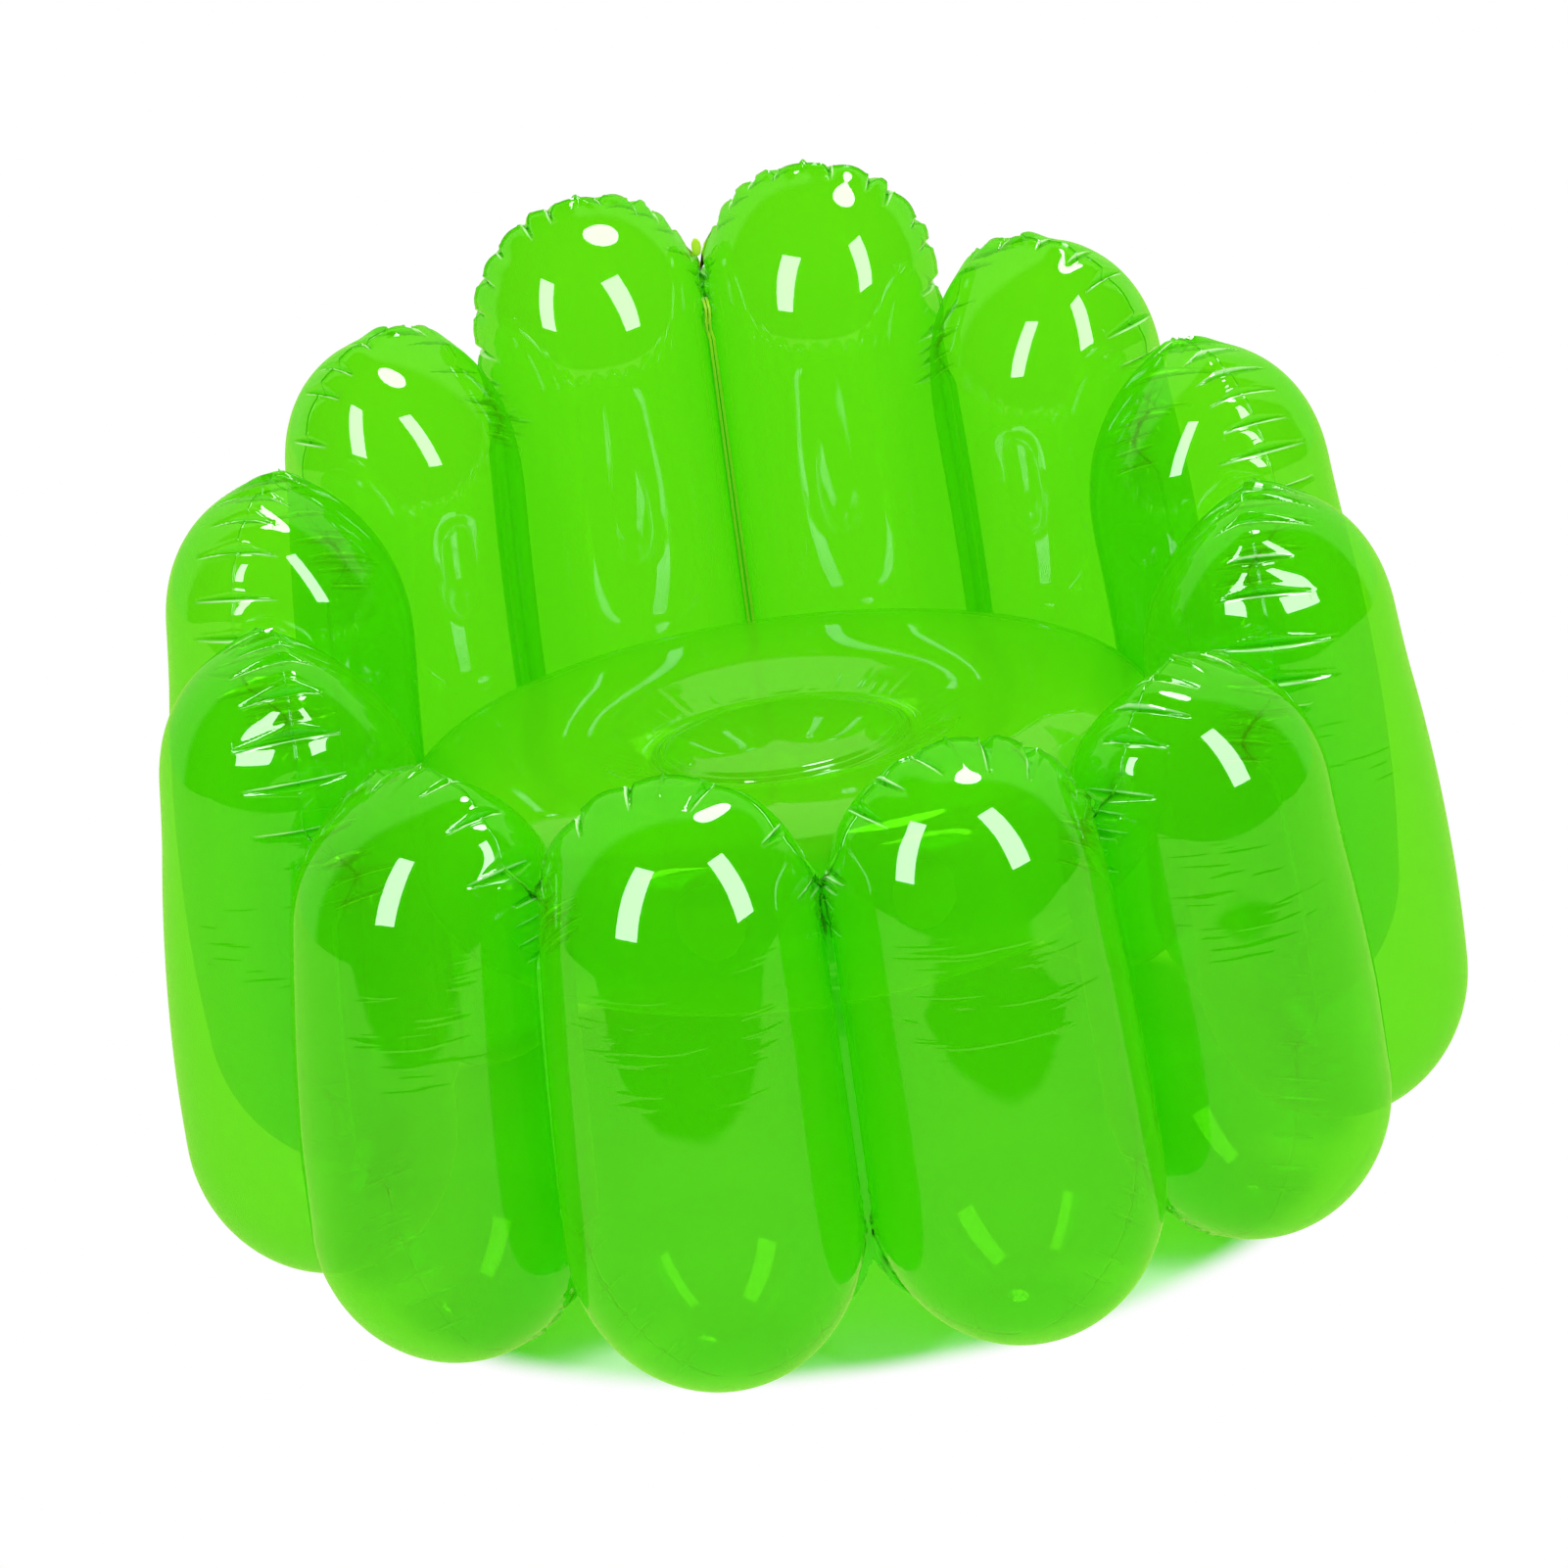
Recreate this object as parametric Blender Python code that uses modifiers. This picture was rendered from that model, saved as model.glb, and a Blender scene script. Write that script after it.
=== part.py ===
"""Inflatable tub chair of clear green film.

Twelve upright air tubes stand side by side in a ring, lowest at the front and highest at the back. A flat welded
band joins each tube to the next, and a small port at each end of the band lets air pass between them. A round air
cushion held between the tubes is the seat. The wall and the seat are two separate air spaces, and each has a soft
push-in valve with a plug on a strap.

Lengths are in metres. The chair faces -Y, Z is up, and the origin is on the floor in the middle of the chair's
bounding box. Left and right are as seen from in front of the chair. A turn is an angle round the ring's axis,
counted from the front towards the right.
"""

import math
from collections import namedtuple

import bmesh
import bpy
from mathutils import Matrix, Vector

# Ring of tubes
TUBE_NAMES = ("front", "front_corner", "side_front", "side_back", "back_corner", "back")
FRONT_HEIGHT = 0.454
FRONT_CORNER_HEIGHT = 0.456
SIDE_FRONT_HEIGHT = 0.526
SIDE_BACK_HEIGHT = 0.597
BACK_CORNER_HEIGHT = 0.665
BACK_HEIGHT = 0.735
RING_RADIUS = 0.415  # from the ring's axis to a tube's centre line, at the waist
WAIST_HEIGHT = 0.300
BOW_RADIUS = 1.77  # each tube bows outwards along an arc of this radius
FRONT_LEAN_SHARE = -0.171  # what a tube at the very front gains in radius for its rise
BACK_LEAN_SHARE = -0.003
TUBE_FACETS_OUTSIDE = 7
TUBE_FACETS_INSIDE = 5
WELD_FLAT_ANGLE = math.radians(6)  # half the angle of the flat strip along a weld

# Film and gaps
FILM = 0.0004
GAP = 0.0003  # between neighbours that touch on the real chair
CUT_OVERRUN = 0.010

# Facets of round pieces
ROUND_SIDES = 16
SMALL_SIDES = 8

# Ends of a tube
FOOT_DOME = 0.105
FOOT_CUT = 0.0005  # the foot is pressed flat by this much
FOOT_ROW_ANGLES = (math.radians(35), math.radians(62))
CROWN_HEIGHT = 0.105
CROWN_ROW_SHARES = (0.4, 0.7, 0.9)
CROWN_POWER_SHARE = 2.4  # from front to back the crown is fuller than an ellipse, whose power is 2

# Weld bands, with the webs of flat film in the notches above and below
WELD_WIDTH = 0.004
WELD_THICKNESS = 0.0008
NOTCH_DEPTH = 0.070  # from the lower neighbour's top down to the edge of the web
WEB_FOOT = 0.040
WEB_ARCH_TOP = 0.0565
WEB_ARCH_RADIUS = 0.0275
WEB_CLEARANCE = 0.001
WEB_STEPS = 3
TAB_RADIUS = 0.0045
TAB_RISE = 0.011
TAB_THICKNESS = 0.0012

# Air ports through the weld bands
PORT_RADIUS = 0.008
PORT_WALL = 0.0012
PORT_MARGIN = 0.012  # from the end of the straight part to the port

# Seat cushion
SEAT_CROWN_HEIGHT = 0.375
SEAT_CROWN_INSET = 0.0773  # from the cushion's rim in to its crown
SEAT_RING_RADIUS = 0.1086  # weld circle round the sunk middle
SEAT_RING_DROP = 0.027
SEAT_MIDDLE_RISE = 0.004
SEAT_BELLY_HEIGHT = 0.205
SEAT_BELLY_INSET = 0.1093  # from the rim in to the middle of the flat land under the cushion
SEAT_BELLY_RISE = 0.013
SEAT_SIDES = 24
# Points along the shoulder and the inner slope, as shares of their width and of their height
SHOULDER_SHARES = ((0.92, 0.33), (0.76, 0.63), (0.46, 0.86))
SLOPE_SHARES = ((0.40, 0.18), (0.75, 0.58))
BAND_HOLE_RADIUS = 0.020
BAND_CUTS = 3  # each passes through the tie band twice

# Valves
WALL_VALVE_TUBE = "front_corner_right"
WALL_VALVE_HEIGHT = 0.338
WALL_VALVE_SWING = math.radians(19)  # from the tube's innermost line towards its left
PATCH_MARGIN = 0.002  # flat film all round the flange
FLANGE_RADIUS = 0.016
FLANGE_THICKNESS = 0.0008
FLANGE_CLEARANCE = 0.0005  # behind the film
FLANGE_WELD = 0.0035  # width of the ring where film and flange are welded
STEM_RADIUS = 0.0055
STEM_WALL = 0.002
STEM_RIM_WIDTH = 0.002
STEM_RIM_THICKNESS = 0.0012
STEM_TRAVEL = 0.008
PLUG_HEAD_RADIUS = 0.0065
PLUG_HEAD_THICKNESS = 0.0012
PLUG_NOSE_LENGTH = 0.0048
PLUG_TIP_SHARE = 0.65
STRAP_WIDTH = 0.005
STRAP_THICKNESS = 0.001
KNUCKLE_RADIUS = 0.0009
KNUCKLE_CLEARANCE = 0.0008
FLAP_THICKNESS = 0.0004

# Looks
FILM_COLOUR = (0.08, 0.64, 0.005)
SEAM_COLOUR = (0.46, 0.74, 0.045)
VALVE_COLOUR = (0.11, 0.70, 0.02)
ROUGHNESS = 0.08
FILM_ALPHA = 0.5
SHARP_ANGLE = math.radians(35)

TUBE_TOPS = (FRONT_HEIGHT, FRONT_CORNER_HEIGHT, SIDE_FRONT_HEIGHT, SIDE_BACK_HEIGHT, BACK_CORNER_HEIGHT, BACK_HEIGHT)
TUBE_COUNT = 2 * len(TUBE_TOPS)
PITCH = 2 * math.pi / TUBE_COUNT
HALF_PITCH = PITCH / 2
HALF_WELD = WELD_WIDTH / 2
FOOT_CENTRE = FOOT_DOME - FOOT_CUT
TANGENT = math.pi / 2 + HALF_PITCH  # angle of the weld on a tube's section, from its outermost line
PATCH_HALF = FLANGE_RADIUS + PATCH_MARGIN

Tube = namedtuple("Tube", "name turn top")
Patch = namedtuple("Patch", "low high first last")


# Making and cutting objects


def new_collection(name):
    collection = bpy.data.collections.new(name)
    bpy.context.scene.collection.children.link(collection)
    return collection


def plastic(name, colour, alpha):
    material = bpy.data.materials.new(name)
    material.use_nodes = True
    shader = material.node_tree.nodes["Principled BSDF"]
    shader.inputs["Base Color"].default_value = (*colour, 1)
    shader.inputs["Roughness"].default_value = ROUGHNESS
    shader.inputs["Metallic"].default_value = 0
    shader.inputs["Alpha"].default_value = alpha
    return material


def add_piece(name, mesh, matrix, colour, alpha):
    """A piece of the chair, with a material of its own."""
    mesh.shade_smooth()
    mesh.set_sharp_from_angle(angle=SHARP_ANGLE)
    mesh.materials.append(plastic(name, colour, alpha))
    piece = bpy.data.objects.new(name, mesh)
    chair.objects.link(piece)
    piece.matrix_world = matrix
    return piece


def add_helper(mesh, matrix):
    """A shape that only cuts other pieces or joins them."""
    shape = bpy.data.objects.new(mesh.name, mesh)
    cutters.objects.link(shape)
    shape.matrix_world = matrix
    shape.hide_render = True
    shape.display_type = "WIRE"
    return shape


def combine(piece, operation, helper):
    modifier = piece.modifiers.new(helper.name, "BOOLEAN")
    modifier.operation = operation
    modifier.object = helper


def thicken(piece):
    """Turns a skin into film, with the skin as its outer face."""
    modifier = piece.modifiers.new("film", "SOLIDIFY")
    modifier.thickness = FILM
    modifier.offset = -1
    modifier.use_even_offset = True


def mesh_of(name, bm):
    mesh = bpy.data.meshes.new(name)
    bm.to_mesh(mesh)
    bm.free()
    return mesh


def cylinder(name, radius, low, high, sides, caps=True):
    bm = bmesh.new()
    middle = Matrix.Translation((0, 0, (low + high) / 2))
    bmesh.ops.create_cone(
        bm, cap_ends=caps, segments=sides, radius1=radius, radius2=radius, depth=high - low, matrix=middle
    )
    return mesh_of(name, bm)


def box(name, low, high):
    bm = bmesh.new()
    centre = [(a + b) / 2 for a, b in zip(low, high)]
    size = [b - a for a, b in zip(low, high)]
    bmesh.ops.create_cube(bm, size=1, matrix=Matrix.LocRotScale(centre, None, size))
    return mesh_of(name, bm)


def loft(name, rings, peak=None):
    """A skin over rings of as many points each. It is closed by flat ends, or at the top by a peak."""
    bm = bmesh.new()
    rows = [[bm.verts.new(point) for point in ring] for ring in rings]
    count = len(rows[0])
    for low, high in zip(rows, rows[1:]):
        for i in range(count):
            j = (i + 1) % count
            bm.faces.new((low[i], low[j], high[j], high[i]))
    bm.faces.new(rows[0])
    if peak is None:
        bm.faces.new(rows[-1])
    else:
        point = bm.verts.new(peak)
        for i in range(count):
            bm.faces.new((rows[-1][i], rows[-1][(i + 1) % count], point))
    bmesh.ops.recalc_face_normals(bm, faces=bm.faces)
    return mesh_of(name, bm)


def turned(name, profile, sides, ring=False):
    """A profile of (radius, height), running down its outer side, turned about Z. A ring's profile is a loop."""
    bm = bmesh.new()
    points = [bm.verts.new((radius, 0, height)) for radius, height in profile]
    ends = points[1:] + points[:1] if ring else points[1:]
    for start, end in zip(points, ends):
        bm.edges.new((start, end))
    outline = add_helper(mesh_of(f"{name}_profile", bm), Matrix.Identity(4))
    screw = outline.modifiers.new("turn", "SCREW")
    screw.steps = sides
    screw.render_steps = sides
    screw.use_merge_vertices = True
    screw.merge_threshold = GAP / 10
    mesh = bpy.data.meshes.new_from_object(outline.evaluated_get(bpy.context.evaluated_depsgraph_get()))
    bpy.data.objects.remove(outline)
    return mesh


# The ring


def ring_distance(turn, z):
    """From the ring's axis to a tube's centre line."""
    back_share = (1 - math.cos(turn)) / 2
    lean_share = FRONT_LEAN_SHARE + (BACK_LEAN_SHARE - FRONT_LEAN_SHARE) * back_share
    rise = z - WAIST_HEIGHT
    return RING_RADIUS + lean_share * rise - rise * rise / (2 * BOW_RADIUS)


def ring_frame(turn, distance, z):
    """A frame at a place round the ring, with -Y outwards and Z up."""
    return Matrix.Translation(ring_axis) @ Matrix.Rotation(turn, 4, "Z") @ Matrix.Translation((0, -distance, z))


def steps(first, last, count):
    return [first + (last - first) * i / count for i in range(count + 1)]


# Air tubes


def tube_radius(turn, z):
    """Of the circle that touches the weld bands on both sides."""
    return ring_distance(turn, z) * math.sin(HALF_PITCH) - HALF_WELD


def girth_shares(top, z):
    """How much of its full width and depth a tube has at a height."""
    if z < FOOT_CENTRE:
        share = math.sqrt(1 - ((FOOT_CENTRE - z) / FOOT_DOME) ** 2)
        return share, share
    crown = max(z - (top - CROWN_HEIGHT), 0) / CROWN_HEIGHT
    return math.sqrt(1 - crown**2), (1 - crown**CROWN_POWER_SHARE) ** (1 / CROWN_POWER_SHARE)


def section_angles(patch=None):
    """Corners of a tube's section, counted from its outermost line. A valve's patch is one flat facet."""
    outer_end = TANGENT - WELD_FLAT_ANGLE
    inner_start = TANGENT + WELD_FLAT_ANGLE
    inner_end = 2 * math.pi - inner_start
    outside = steps(-outer_end, outer_end, TUBE_FACETS_OUTSIDE)
    if patch is None:
        return outside + steps(inner_start, inner_end, TUBE_FACETS_INSIDE)
    beside = (TUBE_FACETS_INSIDE - 1) // 2
    return outside + steps(inner_start, patch.first, beside) + steps(patch.last, inner_end, beside)


def corner_share(angle):
    """The corners of the flat strips stand out of the circle, so that the strips touch it."""
    from_tangent = abs(abs(math.remainder(angle, 2 * math.pi)) - TANGENT)
    return 1 / math.cos(WELD_FLAT_ANGLE) if from_tangent < 1.01 * WELD_FLAT_ANGLE else 1


def tube_point(tube, z, angle):
    """A point of a tube's skin in the tube's own frame, which stands at RING_RADIUS with -Y outwards."""
    width_share, depth_share = girth_shares(tube.top, z)
    radius = tube_radius(tube.turn, z) * corner_share(angle)
    out = ring_distance(tube.turn, z) - RING_RADIUS + radius * depth_share * math.cos(angle)
    return Vector((radius * width_share * math.sin(angle), -out, z))


def tube_heights(top, patch):
    """Heights of a tube's rings of corners. Those near a valve's patch give way to its own two."""
    crown_start = top - CROWN_HEIGHT
    heights = [0] + [FOOT_CENTRE - FOOT_DOME * math.cos(angle) for angle in FOOT_ROW_ANGLES]
    heights += [FOOT_CENTRE, WAIST_HEIGHT, crown_start]
    if crown_start - WAIST_HEIGHT > FOOT_DOME:
        heights.append((WAIST_HEIGHT + crown_start) / 2)
    heights += [crown_start + CROWN_HEIGHT * share for share in CROWN_ROW_SHARES]
    if patch:
        near = patch.low - PATCH_HALF, patch.high + PATCH_HALF
        heights = [z for z in heights if not near[0] < z < near[1]] + [patch.low, patch.high]
    return sorted(heights)


def tube_rings(tube, patch=None):
    rings = []
    for z in tube_heights(tube.top, patch):
        angles = section_angles(patch if patch and patch.low <= z <= patch.high else None)
        rings.append([tube_point(tube, z, angle) for angle in angles])
    return rings


def air_tube(tube, patch=None):
    peak = (0, RING_RADIUS - ring_distance(tube.turn, tube.top), tube.top)
    skin = loft(tube.name, tube_rings(tube, patch), peak)
    piece = add_piece(tube.name, skin, ring_frame(tube.turn, RING_RADIUS, 0), FILM_COLOUR, FILM_ALPHA)
    thicken(piece)
    return piece


def list_tubes():
    tubes = []
    for index in range(TUBE_COUNT):
        pair = min(index, TUBE_COUNT - 1 - index)
        side = "right" if index < len(TUBE_TOPS) else "left"
        tubes.append(Tube(f"tube_{TUBE_NAMES[pair]}_{side}", PITCH * index + HALF_PITCH, TUBE_TOPS[pair]))
    return tubes


def middle_of_depth(tubes):
    """Where the ring's axis stands, so that the origin is half way between the frontmost and rearmost points."""
    reach = []
    for tube in tubes:
        turning = Matrix.Rotation(tube.turn, 3, "Z")
        points = [point for ring in tube_rings(tube) for point in ring]
        reach += [(turning @ (point - Vector((0, RING_RADIUS, 0)))).y for point in points]
    return Vector((0, -(min(reach) + max(reach)) / 2, 0))


# Weld bands


def weld_distance(turn, z):
    """From the ring's axis to the middle of a weld band."""
    return ring_distance(turn, z) * math.cos(HALF_PITCH)


def room_beside(tube, z):
    """From the weld's middle plane to a neighbour's skin."""
    width_share, depth_share = girth_shares(tube.top, z)
    reach_share = math.hypot(width_share * math.cos(HALF_PITCH), depth_share * math.sin(HALF_PITCH))
    return ring_distance(tube.turn, z) * math.sin(HALF_PITCH) - tube_radius(tube.turn, z) * reach_share


def port_heights(straight_top):
    margin = PORT_MARGIN + PORT_RADIUS
    return FOOT_CENTRE + margin, straight_top - margin


def weld_band(name, turn, left, right, colour):
    """The flat band between two tubes, with its webs above and below and a sleeve round each port."""
    lower_top = min(left.top, right.top)
    straight_top = lower_top - CROWN_HEIGHT
    heights = steps(WEB_FOOT, FOOT_CENTRE, WEB_STEPS)
    if straight_top - WAIST_HEIGHT > FOOT_DOME:
        heights.append(WAIST_HEIGHT)
    heights += steps(straight_top, lower_top - NOTCH_DEPTH, WEB_STEPS)
    base = weld_distance(turn, WAIST_HEIGHT)
    half_thickness = WELD_THICKNESS / 2
    rings = []
    for z in heights:
        clearance = GAP if FOOT_CENTRE <= z <= straight_top else WEB_CLEARANCE
        low_x = -max(room_beside(left, z) - clearance, HALF_WELD / 2)
        high_x = max(room_beside(right, z) - clearance, HALF_WELD / 2)
        y = base - weld_distance(turn, z)
        front, back = y - half_thickness, y + half_thickness
        rings.append([(low_x, front, z), (high_x, front, z), (high_x, back, z), (low_x, back, z)])
    band = add_piece(name, loft(name, rings), ring_frame(turn, base, 0), colour, FILM_ALPHA)
    add_port_sleeves(band, turn, straight_top)
    cut_arch(band, turn)
    return band


def port_frame(turn, z):
    """With Z along the ring."""
    return ring_frame(turn, weld_distance(turn, z), z) @ Matrix.Rotation(math.pi / 2, 4, "Y")


def add_port_sleeves(band, turn, straight_top):
    half = HALF_WELD - GAP
    for z in port_heights(straight_top):
        sleeve = cylinder(f"{band.name}_sleeve", PORT_RADIUS + PORT_WALL, -half, half, SMALL_SIDES)
        combine(band, "UNION", add_helper(sleeve, port_frame(turn, z)))


def cut_arch(band, turn):
    arch = cylinder(f"{band.name}_arch", WEB_ARCH_RADIUS, -CUT_OVERRUN, CUT_OVERRUN, ROUND_SIDES)
    place = ring_frame(turn, weld_distance(turn, WEB_ARCH_TOP), WEB_ARCH_TOP - WEB_ARCH_RADIUS)
    combine(band, "DIFFERENCE", add_helper(arch, place @ Matrix.Rotation(math.pi / 2, 4, "X")))


def cut_ports(name, turn, straight_top, pieces):
    half = HALF_WELD + CUT_OVERRUN
    for z in port_heights(straight_top):
        port = cylinder(f"{name}_port", PORT_RADIUS, -half, half, SMALL_SIDES)
        cutter = add_helper(port, port_frame(turn, z))
        for piece in pieces:
            combine(piece, "DIFFERENCE", cutter)


def add_tab(seam, notch):
    """The oval end of the back seam, which stands up out of its notch."""
    tab = cylinder(f"{seam.name}_tab", TAB_RADIUS, -TAB_THICKNESS / 2, TAB_THICKNESS / 2, SMALL_SIDES)
    tab.transform(Matrix.Diagonal((1, TAB_RISE / TAB_RADIUS, 1, 1)))
    place = ring_frame(math.pi, weld_distance(math.pi, notch), notch)
    combine(seam, "UNION", add_helper(tab, place @ Matrix.Rotation(math.pi / 2, 4, "X")))


def weld_name(index):
    if index == 0:
        return "weld_front"
    if index == len(TUBE_TOPS):
        return "back_joining_seam"
    pair = min(index, TUBE_COUNT - index)
    side = "right" if index < len(TUBE_TOPS) else "left"
    return f"weld_{TUBE_NAMES[pair - 1]}_to_{TUBE_NAMES[pair]}_{side}"


def join_tubes(tubes, pieces):
    for index in range(TUBE_COUNT):
        left, right = tubes[index - 1], tubes[index]
        at_back = index == len(TUBE_TOPS)
        turn = PITCH * index
        name = weld_name(index)
        lower_top = min(left.top, right.top)
        band = weld_band(name, turn, left, right, SEAM_COLOUR if at_back else FILM_COLOUR)
        if at_back:
            add_tab(band, lower_top - NOTCH_DEPTH)
        cut_ports(name, turn, lower_top - CROWN_HEIGHT, (band, pieces[index - 1], pieces[index]))


# Seat cushion


def seat_rim_radius():
    """As far out as the tubes' innermost facets leave room for."""
    half_facet = (math.pi - TANGENT - WELD_FLAT_ANGLE) / TUBE_FACETS_INSIDE
    return RING_RADIUS - tube_radius(0, WAIST_HEIGHT) * math.cos(half_facet) - GAP


def seat_crown_radius():
    return seat_rim_radius() - SEAT_CROWN_INSET


def seat_belly_radius():
    return seat_rim_radius() - SEAT_BELLY_INSET


def seat_sheet(name, profile):
    piece = add_piece(name, turned(name, profile, SEAT_SIDES), ring_frame(0, 0, 0), FILM_COLOUR, FILM_ALPHA)
    thicken(piece)
    return piece


def seat_top_sheet():
    rim = seat_rim_radius()
    crown = seat_crown_radius()
    ring_height = SEAT_CROWN_HEIGHT - SEAT_RING_DROP
    slope = crown - SEAT_RING_RADIUS
    profile = [(0, ring_height + SEAT_MIDDLE_RISE), (SEAT_RING_RADIUS, ring_height)]
    for width_share, height_share in reversed(SLOPE_SHARES):
        profile.append((crown - slope * width_share, SEAT_CROWN_HEIGHT - SEAT_RING_DROP * height_share))
    profile.append((crown, SEAT_CROWN_HEIGHT))
    for width_share, height_share in reversed(SHOULDER_SHARES):
        out = crown + (rim - crown) * width_share
        profile.append((out, WAIST_HEIGHT + (SEAT_CROWN_HEIGHT - WAIST_HEIGHT) * height_share))
    profile.append((rim, WAIST_HEIGHT + GAP / 2))
    return seat_sheet("seat_top_sheet", profile)


def seat_bottom_sheet():
    rim = seat_rim_radius()
    belly = seat_belly_radius()
    outside = belly + PATCH_HALF
    ring_height = SEAT_BELLY_HEIGHT + SEAT_BELLY_RISE
    profile = [(rim, WAIST_HEIGHT - GAP / 2)]
    for width_share, height_share in SHOULDER_SHARES:
        out = outside + (rim - outside) * width_share
        profile.append((out, WAIST_HEIGHT - (WAIST_HEIGHT - SEAT_BELLY_HEIGHT) * height_share))
    profile += [(outside, SEAT_BELLY_HEIGHT), (belly - PATCH_HALF, SEAT_BELLY_HEIGHT)]
    profile += [(SEAT_RING_RADIUS, ring_height), (0, ring_height)]
    return seat_sheet("seat_bottom_sheet", profile)


def seat_tie_band():
    """The upright band inside the cushion that holds its sunk middle down, with holes for the air."""
    clearance = FILM + GAP
    low = SEAT_BELLY_HEIGHT + SEAT_BELLY_RISE + clearance
    high = SEAT_CROWN_HEIGHT - SEAT_RING_DROP - clearance
    name = "seat_tie_band"
    wall = cylinder(name, SEAT_RING_RADIUS, low, high, SEAT_SIDES, caps=False)
    band = add_piece(name, wall, ring_frame(0, 0, 0), FILM_COLOUR, FILM_ALPHA)
    thicken(band)
    half = SEAT_RING_RADIUS + CUT_OVERRUN
    for index in range(BAND_CUTS):
        hole = cylinder(f"{name}_hole", BAND_HOLE_RADIUS, -half, half, SMALL_SIDES)
        across = ring_frame(math.pi * index / BAND_CUTS, 0, (low + high) / 2)
        combine(band, "DIFFERENCE", add_helper(hole, across @ Matrix.Rotation(math.pi / 2, 4, "X")))


# Valves


def valve(prefix, film, frame):
    """Flange, push-in stem, plug on its strap, and check flap. The film's outer face is at z = 0 of the frame."""
    root = bpy.data.objects.new(f"{prefix}_valve", None)
    chair.objects.link(root)
    root.matrix_world = frame

    def place(name, mesh, location):
        piece = add_piece(f"{prefix}_valve_{name}", mesh, frame, VALVE_COLOUR, 1)
        piece.parent = root
        piece.matrix_basis = Matrix.Translation(location)
        return piece

    film_hole = cylinder(f"{prefix}_film_hole", FLANGE_RADIUS - FLANGE_WELD, -CUT_OVERRUN, CUT_OVERRUN, ROUND_SIDES)
    combine(film, "DIFFERENCE", add_helper(film_hole, frame))

    flange_top = -(FILM + FLANGE_CLEARANCE)
    flange_bottom = flange_top - FLANGE_THICKNESS
    flange_bore = STEM_RADIUS + GAP
    flange = [(FLANGE_RADIUS, flange_top), (FLANGE_RADIUS, flange_bottom)]
    flange += [(flange_bore, flange_bottom), (flange_bore, flange_top)]
    place("flange", turned("flange", flange, ROUND_SIDES, ring=True), (0, 0, 0))

    rim_bottom = flange_top + GAP
    rim_top = rim_bottom + STEM_RIM_THICKNESS
    rim_radius = STEM_RADIUS + STEM_RIM_WIDTH
    collar_top = flange_bottom - GAP - STEM_TRAVEL
    collar_bottom = collar_top - STEM_RIM_THICKNESS
    bore = STEM_RADIUS - STEM_WALL
    stem = [(bore, rim_top), (rim_radius, rim_top), (rim_radius, rim_bottom), (STEM_RADIUS, rim_bottom)]
    stem += [(STEM_RADIUS, collar_top), (rim_radius, collar_top), (rim_radius, collar_bottom)]
    stem += [(bore, collar_bottom)]
    place("stem", turned("stem", stem, ROUND_SIDES, ring=True), (0, 0, 0))

    head_bottom = rim_top + GAP
    head_top = head_bottom + PLUG_HEAD_THICKNESS
    nose = bore - GAP
    plug_profile = [(0, head_top), (PLUG_HEAD_RADIUS, head_top), (PLUG_HEAD_RADIUS, head_bottom)]
    plug_profile += [(nose, head_bottom), (nose * PLUG_TIP_SHARE, head_bottom - PLUG_NOSE_LENGTH)]
    plug_profile += [(0, head_bottom - PLUG_NOSE_LENGTH)]
    hinge = Vector((0, rim_radius + KNUCKLE_CLEARANCE + KNUCKLE_RADIUS, (head_bottom + head_top) / 2))
    plug_mesh = turned("plug", plug_profile, ROUND_SIDES)
    plug_mesh.transform(Matrix.Translation(-hinge))
    plug = place("plug", plug_mesh, hinge)
    half_width, half_strap = STRAP_WIDTH / 2, STRAP_THICKNESS / 2
    at_hinge = frame @ Matrix.Translation(hinge)
    strap_low = (-half_width, PLUG_HEAD_RADIUS / 2 - hinge.y, -half_strap)
    strap = box(f"{prefix}_strap", strap_low, (half_width, 0, half_strap))
    combine(plug, "UNION", add_helper(strap, at_hinge))
    knuckle = cylinder(f"{prefix}_knuckle", KNUCKLE_RADIUS, -half_width, half_width, SMALL_SIDES)
    combine(plug, "UNION", add_helper(knuckle, at_hinge @ Matrix.Rotation(math.pi / 2, 4, "Y")))

    flap_radius = (bore + STEM_RADIUS) / 2
    flap = cylinder("flap", flap_radius, -FLAP_THICKNESS, 0, ROUND_SIDES)
    flap.transform(Matrix.Translation((0, -flap_radius, 0)))
    place("flap", flap, (0, flap_radius, collar_bottom - GAP))


def wall_valve_patch(tube):
    """Where the valve's tube is flat."""
    middle = math.pi - WALL_VALVE_SWING
    half = math.asin(PATCH_HALF / tube_radius(tube.turn, WALL_VALVE_HEIGHT))
    return Patch(WALL_VALVE_HEIGHT - PATCH_HALF, WALL_VALVE_HEIGHT + PATCH_HALF, middle - half, middle + half)


def patch_frame(tube, patch):
    """In the middle of the patch, with Z out of the film and Y upwards."""
    corners = [tube_point(tube, z, angle) for z in (patch.low, patch.high) for angle in (patch.first, patch.last)]
    low_first, low_last, high_first, high_last = corners
    up = (high_first + high_last - low_first - low_last).normalized()
    across = (low_first + high_first - low_last - high_last).normalized()
    across = (across - up * across.dot(up)).normalized()
    out = across.cross(up)
    if out.y < 0:
        across, out = -across, -out
    turned_to = Matrix((across, up, out)).transposed().to_4x4()
    middle = Matrix.Translation(sum(corners, Vector((0, 0, 0))) / len(corners))
    return ring_frame(tube.turn, RING_RADIUS, 0) @ middle @ turned_to


for old in list(bpy.data.objects):
    bpy.data.objects.remove(old)
chair = new_collection("inflatable_chair")
cutters = new_collection("cutters")
cutters.hide_render = True

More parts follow.
